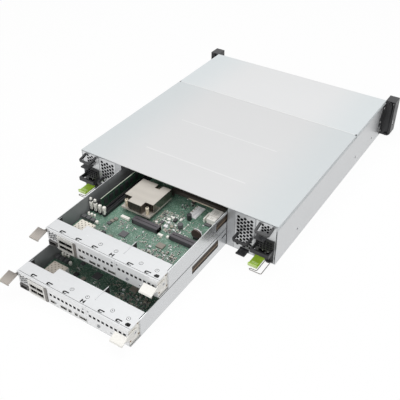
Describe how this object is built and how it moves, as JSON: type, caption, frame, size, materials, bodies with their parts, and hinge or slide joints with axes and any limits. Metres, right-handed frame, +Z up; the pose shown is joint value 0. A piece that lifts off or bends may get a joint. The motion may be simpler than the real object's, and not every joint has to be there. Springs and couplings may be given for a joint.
{
  "type": "rack server",
  "caption": "Low rack server chassis with stacked node sleds drawn out at the rear, hot-swap power supplies and fan modules beside them and drive bays at the front.",
  "frame": {"origin": "middle of the chassis underside", "axes": "+Y towards the drive side, +Z up, +X right as seen from the rear; rest pose is the pictured one, with both sleds drawn out"},
  "size_m": [0.4826, 0.8594, 0.087],
  "materials": {
    "galvanised_sheet": "galvanised sheet, fine grain",
    "cover_sheet": "pale grey satin",
    "panel_sheet": "bright plated sheet",
    "board_green": "solder mask over laminate",
    "heatsink_alloy": "bare extruded fins",
    "connector_plastic": "moulded",
    "component_plastic": "moulded",
    "port_shell": "plated shell",
    "lever_paint": "cream satin",
    "black_plastic": "fine texture",
    "latch_green": "smooth",
    "wire_steel": "drawn wire",
    "drive_alloy": "satin with dark bezel"
  },
  "bodies": {
    "chassis": {"chassis_tray": "galvanised_sheet", "rear_cover": "cover_sheet", "front_cover": "cover_sheet", "bay_walls": "galvanised_sheet", "drive_cage": "galvanised_sheet", "midplane": "board_green", "left_ear": "black_plastic", "right_ear": "black_plastic"},
    "upper_sled": {"upper_sled_tray": "galvanised_sheet", "upper_rear_panel": "panel_sheet", "upper_board": "board_green", "upper_heatsink": "heatsink_alloy", "upper_slots": "connector_plastic", "upper_dimm": "board_green", "upper_components": "component_plastic", "upper_io_ports": "port_shell"},
    "upper_left_lever": {"upper_left_lever": "lever_paint"},
    "upper_right_lever": {"upper_right_lever": "lever_paint"},
    "upper_power_button": {"upper_power_button": "connector_plastic"},
    "lower_sled": {"lower_sled_tray": "galvanised_sheet", "lower_rear_panel": "panel_sheet", "lower_board": "board_green", "lower_heatsink": "heatsink_alloy", "lower_slots": "connector_plastic", "lower_dimm": "board_green", "lower_components": "component_plastic", "lower_io_ports": "port_shell"},
    "lower_left_lever": {"lower_left_lever": "lever_paint"},
    "lower_right_lever": {"lower_right_lever": "lever_paint"},
    "lower_power_button": {"lower_power_button": "connector_plastic"},
    "left_psu": {"left_psu_case": "galvanised_sheet", "left_psu_face": "black_plastic"},
    "left_psu_latch": {"left_psu_latch": "latch_green"},
    "left_psu_bail": {"left_psu_bail": "wire_steel"},
    "left_fan": {"left_fan_case": "galvanised_sheet", "left_fan_handle": "black_plastic"},
    "left_fan_latch": {"left_fan_latch": "black_plastic"},
    "left_fan_rotor_low": {"left_fan_rotor_low": "black_plastic"},
    "left_fan_rotor_high": {"left_fan_rotor_high": "black_plastic"},
    "right_psu": {"right_psu_case": "galvanised_sheet", "right_psu_face": "black_plastic"},
    "right_psu_latch": {"right_psu_latch": "latch_green"},
    "right_psu_bail": {"right_psu_bail": "wire_steel"},
    "right_fan": {"right_fan_case": "galvanised_sheet", "right_fan_handle": "black_plastic"},
    "right_fan_latch": {"right_fan_latch": "black_plastic"},
    "right_fan_rotor_low": {"right_fan_rotor_low": "black_plastic"},
    "right_fan_rotor_high": {"right_fan_rotor_high": "black_plastic"},
    "drive_carrier_01": {"drive_carrier_01": "drive_alloy"},
    "drive_carrier_02": {"drive_carrier_02": "drive_alloy"},
    "drive_carrier_03": {"drive_carrier_03": "drive_alloy"},
    "drive_carrier_04": {"drive_carrier_04": "drive_alloy"},
    "drive_carrier_05": {"drive_carrier_05": "drive_alloy"},
    "drive_carrier_06": {"drive_carrier_06": "drive_alloy"},
    "drive_carrier_07": {"drive_carrier_07": "drive_alloy"},
    "drive_carrier_08": {"drive_carrier_08": "drive_alloy"},
    "drive_carrier_09": {"drive_carrier_09": "drive_alloy"},
    "drive_carrier_10": {"drive_carrier_10": "drive_alloy"},
    "drive_carrier_11": {"drive_carrier_11": "drive_alloy"},
    "drive_carrier_12": {"drive_carrier_12": "drive_alloy"}
  },
  "joints": [
    {"name": "upper_sled_slide", "type": "slide", "parent": "chassis", "child": "upper_sled", "axis": [0, -1, 0], "range_m": [-0.207, 0.08]},
    {"name": "upper_left_lever_hinge", "type": "hinge", "parent": "upper_sled", "child": "upper_left_lever", "pos_m": [-0.11735, -0.453, 0.0687], "axis": [1, 0, 0], "range_deg": [0, 45]},
    {"name": "upper_right_lever_hinge", "type": "hinge", "parent": "upper_sled", "child": "upper_right_lever", "pos_m": [0.11735, -0.453, 0.0607], "axis": [1, 0, 0], "range_deg": [0, 30]},
    {"name": "upper_power_button_press", "type": "slide", "parent": "upper_sled", "child": "upper_power_button", "axis": [0, 1, 0], "range_m": [0, 0.0012], "stiffness_N_per_m": 400},
    {"name": "lower_sled_slide", "type": "slide", "parent": "chassis", "child": "lower_sled", "axis": [0, -1, 0], "range_m": [-0.284, 0.01]},
    {"name": "lower_left_lever_hinge", "type": "hinge", "parent": "lower_sled", "child": "lower_left_lever", "pos_m": [-0.11735, -0.53, 0.0295], "axis": [1, 0, 0], "range_deg": [0, 45]},
    {"name": "lower_right_lever_hinge", "type": "hinge", "parent": "lower_sled", "child": "lower_right_lever", "pos_m": [0.11735, -0.53, 0.0215], "axis": [1, 0, 0], "range_deg": [0, 30]},
    {"name": "lower_power_button_press", "type": "slide", "parent": "lower_sled", "child": "lower_power_button", "axis": [0, 1, 0], "range_m": [0, 0.0012], "stiffness_N_per_m": 400},
    {"name": "left_psu_slide", "type": "slide", "parent": "chassis", "child": "left_psu", "axis": [0, -1, 0], "range_m": [0, 0.28]},
    {"name": "left_psu_latch_hinge", "type": "hinge", "parent": "left_psu", "child": "left_psu_latch", "pos_m": [-0.2033, -0.256, 0.0054], "axis": [-1, 0, 0], "range_deg": [0, 7], "stiffness_Nm_per_rad": 0.5},
    {"name": "left_psu_bail_hinge", "type": "hinge", "parent": "left_psu", "child": "left_psu_bail", "pos_m": [-0.1868, -0.2629, 0.0037], "axis": [-1, 0, 0], "range_deg": [0, 45]},
    {"name": "left_fan_slide", "type": "slide", "parent": "chassis", "child": "left_fan", "axis": [0, -1, 0], "range_m": [0, 0.075]},
    {"name": "left_fan_latch_hinge", "type": "hinge", "parent": "left_fan", "child": "left_fan_latch", "pos_m": [-0.1527, -0.256, 0.0054], "axis": [-1, 0, 0], "range_deg": [0, 7], "stiffness_Nm_per_rad": 0.4},
    {"name": "left_fan_rotor_low_spin", "type": "hinge", "parent": "left_fan", "child": "left_fan_rotor_low", "pos_m": [-0.1547, -0.236, 0.02295], "axis": [0, 1, 0], "continuous": true},
    {"name": "left_fan_rotor_high_spin", "type": "hinge", "parent": "left_fan", "child": "left_fan_rotor_high", "pos_m": [-0.1547, -0.236, 0.06335], "axis": [0, 1, 0], "continuous": true},
    {"name": "right_psu_slide", "type": "slide", "parent": "chassis", "child": "right_psu", "axis": [0, -1, 0], "range_m": [0, 0.28]},
    {"name": "right_psu_latch_hinge", "type": "hinge", "parent": "right_psu", "child": "right_psu_latch", "pos_m": [0.1894, -0.256, 0.0054], "axis": [-1, 0, 0], "range_deg": [0, 7], "stiffness_Nm_per_rad": 0.5},
    {"name": "right_psu_bail_hinge", "type": "hinge", "parent": "right_psu", "child": "right_psu_bail", "pos_m": [0.2059, -0.2629, 0.0037], "axis": [-1, 0, 0], "range_deg": [0, 45]},
    {"name": "right_fan_slide", "type": "slide", "parent": "chassis", "child": "right_fan", "axis": [0, -1, 0], "range_m": [0, 0.075]},
    {"name": "right_fan_latch_hinge", "type": "hinge", "parent": "right_fan", "child": "right_fan_latch", "pos_m": [0.1567, -0.256, 0.0054], "axis": [-1, 0, 0], "range_deg": [0, 7], "stiffness_Nm_per_rad": 0.4},
    {"name": "right_fan_rotor_low_spin", "type": "hinge", "parent": "right_fan", "child": "right_fan_rotor_low", "pos_m": [0.1547, -0.236, 0.02295], "axis": [0, 1, 0], "continuous": true},
    {"name": "right_fan_rotor_high_spin", "type": "hinge", "parent": "right_fan", "child": "right_fan_rotor_high", "pos_m": [0.1547, -0.236, 0.06335], "axis": [0, 1, 0], "continuous": true},
    {"name": "drive_carrier_01_slide", "type": "slide", "parent": "chassis", "child": "drive_carrier_01", "axis": [0, 1, 0], "range_m": [0, 0.165]},
    {"name": "drive_carrier_02_slide", "type": "slide", "parent": "chassis", "child": "drive_carrier_02", "axis": [0, 1, 0], "range_m": [0, 0.165]},
    {"name": "drive_carrier_03_slide", "type": "slide", "parent": "chassis", "child": "drive_carrier_03", "axis": [0, 1, 0], "range_m": [0, 0.165]},
    {"name": "drive_carrier_04_slide", "type": "slide", "parent": "chassis", "child": "drive_carrier_04", "axis": [0, 1, 0], "range_m": [0, 0.165]},
    {"name": "drive_carrier_05_slide", "type": "slide", "parent": "chassis", "child": "drive_carrier_05", "axis": [0, 1, 0], "range_m": [0, 0.165]},
    {"name": "drive_carrier_06_slide", "type": "slide", "parent": "chassis", "child": "drive_carrier_06", "axis": [0, 1, 0], "range_m": [0, 0.165]},
    {"name": "drive_carrier_07_slide", "type": "slide", "parent": "chassis", "child": "drive_carrier_07", "axis": [0, 1, 0], "range_m": [0, 0.165]},
    {"name": "drive_carrier_08_slide", "type": "slide", "parent": "chassis", "child": "drive_carrier_08", "axis": [0, 1, 0], "range_m": [0, 0.165]},
    {"name": "drive_carrier_09_slide", "type": "slide", "parent": "chassis", "child": "drive_carrier_09", "axis": [0, 1, 0], "range_m": [0, 0.165]},
    {"name": "drive_carrier_10_slide", "type": "slide", "parent": "chassis", "child": "drive_carrier_10", "axis": [0, 1, 0], "range_m": [0, 0.165]},
    {"name": "drive_carrier_11_slide", "type": "slide", "parent": "chassis", "child": "drive_carrier_11", "axis": [0, 1, 0], "range_m": [0, 0.165]},
    {"name": "drive_carrier_12_slide", "type": "slide", "parent": "chassis", "child": "drive_carrier_12", "axis": [0, 1, 0], "range_m": [0, 0.165]}
  ]
}
